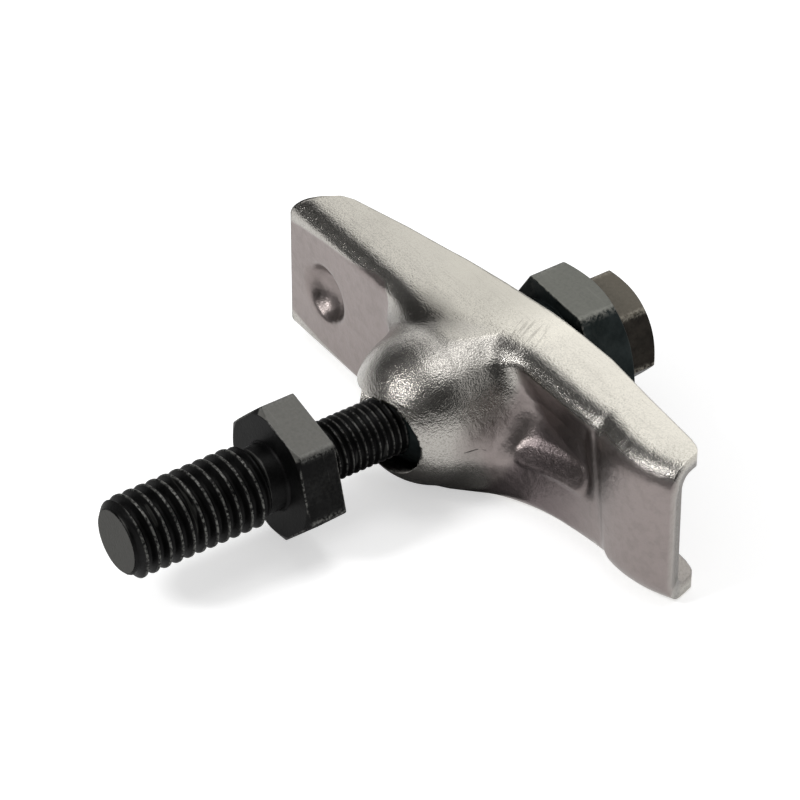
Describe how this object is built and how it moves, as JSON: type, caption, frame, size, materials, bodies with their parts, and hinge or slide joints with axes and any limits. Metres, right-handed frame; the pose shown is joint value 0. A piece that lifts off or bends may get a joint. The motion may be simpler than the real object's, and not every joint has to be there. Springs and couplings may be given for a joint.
{
  "type": "rocker arm",
  "caption": "Pressed steel rocker arm with a ball pivot, pivot stud and lock nut, for the overhead valve of a small engine.",
  "frame": {"origin": "on the stud's axis, in the plane of the collar face that seats on the cylinder head", "axes": "+X along the arm to the valve end, +Y up the stud toward the lock nut, +Z across the arm from flank to flank"},
  "size_m": [0.0542, 0.0576, 0.016],
  "materials": {
    "stud": "black oxide, dull",
    "arm": "satin, lightly tumbled",
    "pivot": "black oxide, satin",
    "nut": "black oxide, satin, lightly scuffed"
  },
  "bodies": {
    "stud": {"stud": "stud"},
    "pivot": {"pivot": "pivot"},
    "rocker_arm": {"rocker_arm": "arm"},
    "lock_nut": {"lock_nut": "nut"}
  },
  "joints": [
    {"name": "pivot_travel", "type": "slide", "parent": "stud", "child": "pivot", "axis": [0, 1, 0], "range_m": [-0.00075, 0.00075]},
    {"name": "lock_nut_turn", "type": "hinge", "parent": "pivot", "child": "lock_nut", "pos_m": [0, 0.03875, 0], "axis": [0, 1, 0], "range_deg": [-360, 360]},
    {"name": "rocker_swing", "type": "hinge", "parent": "pivot", "child": "rocker_arm", "pos_m": [0, 0.0186, 0], "axis": [0, 0, 1], "range_deg": [-6, 8]}
  ],
  "couplings": [
    {"joint": "lock_nut_turn", "follows": "pivot_travel", "rad_per_m": 8377.6}
  ]
}
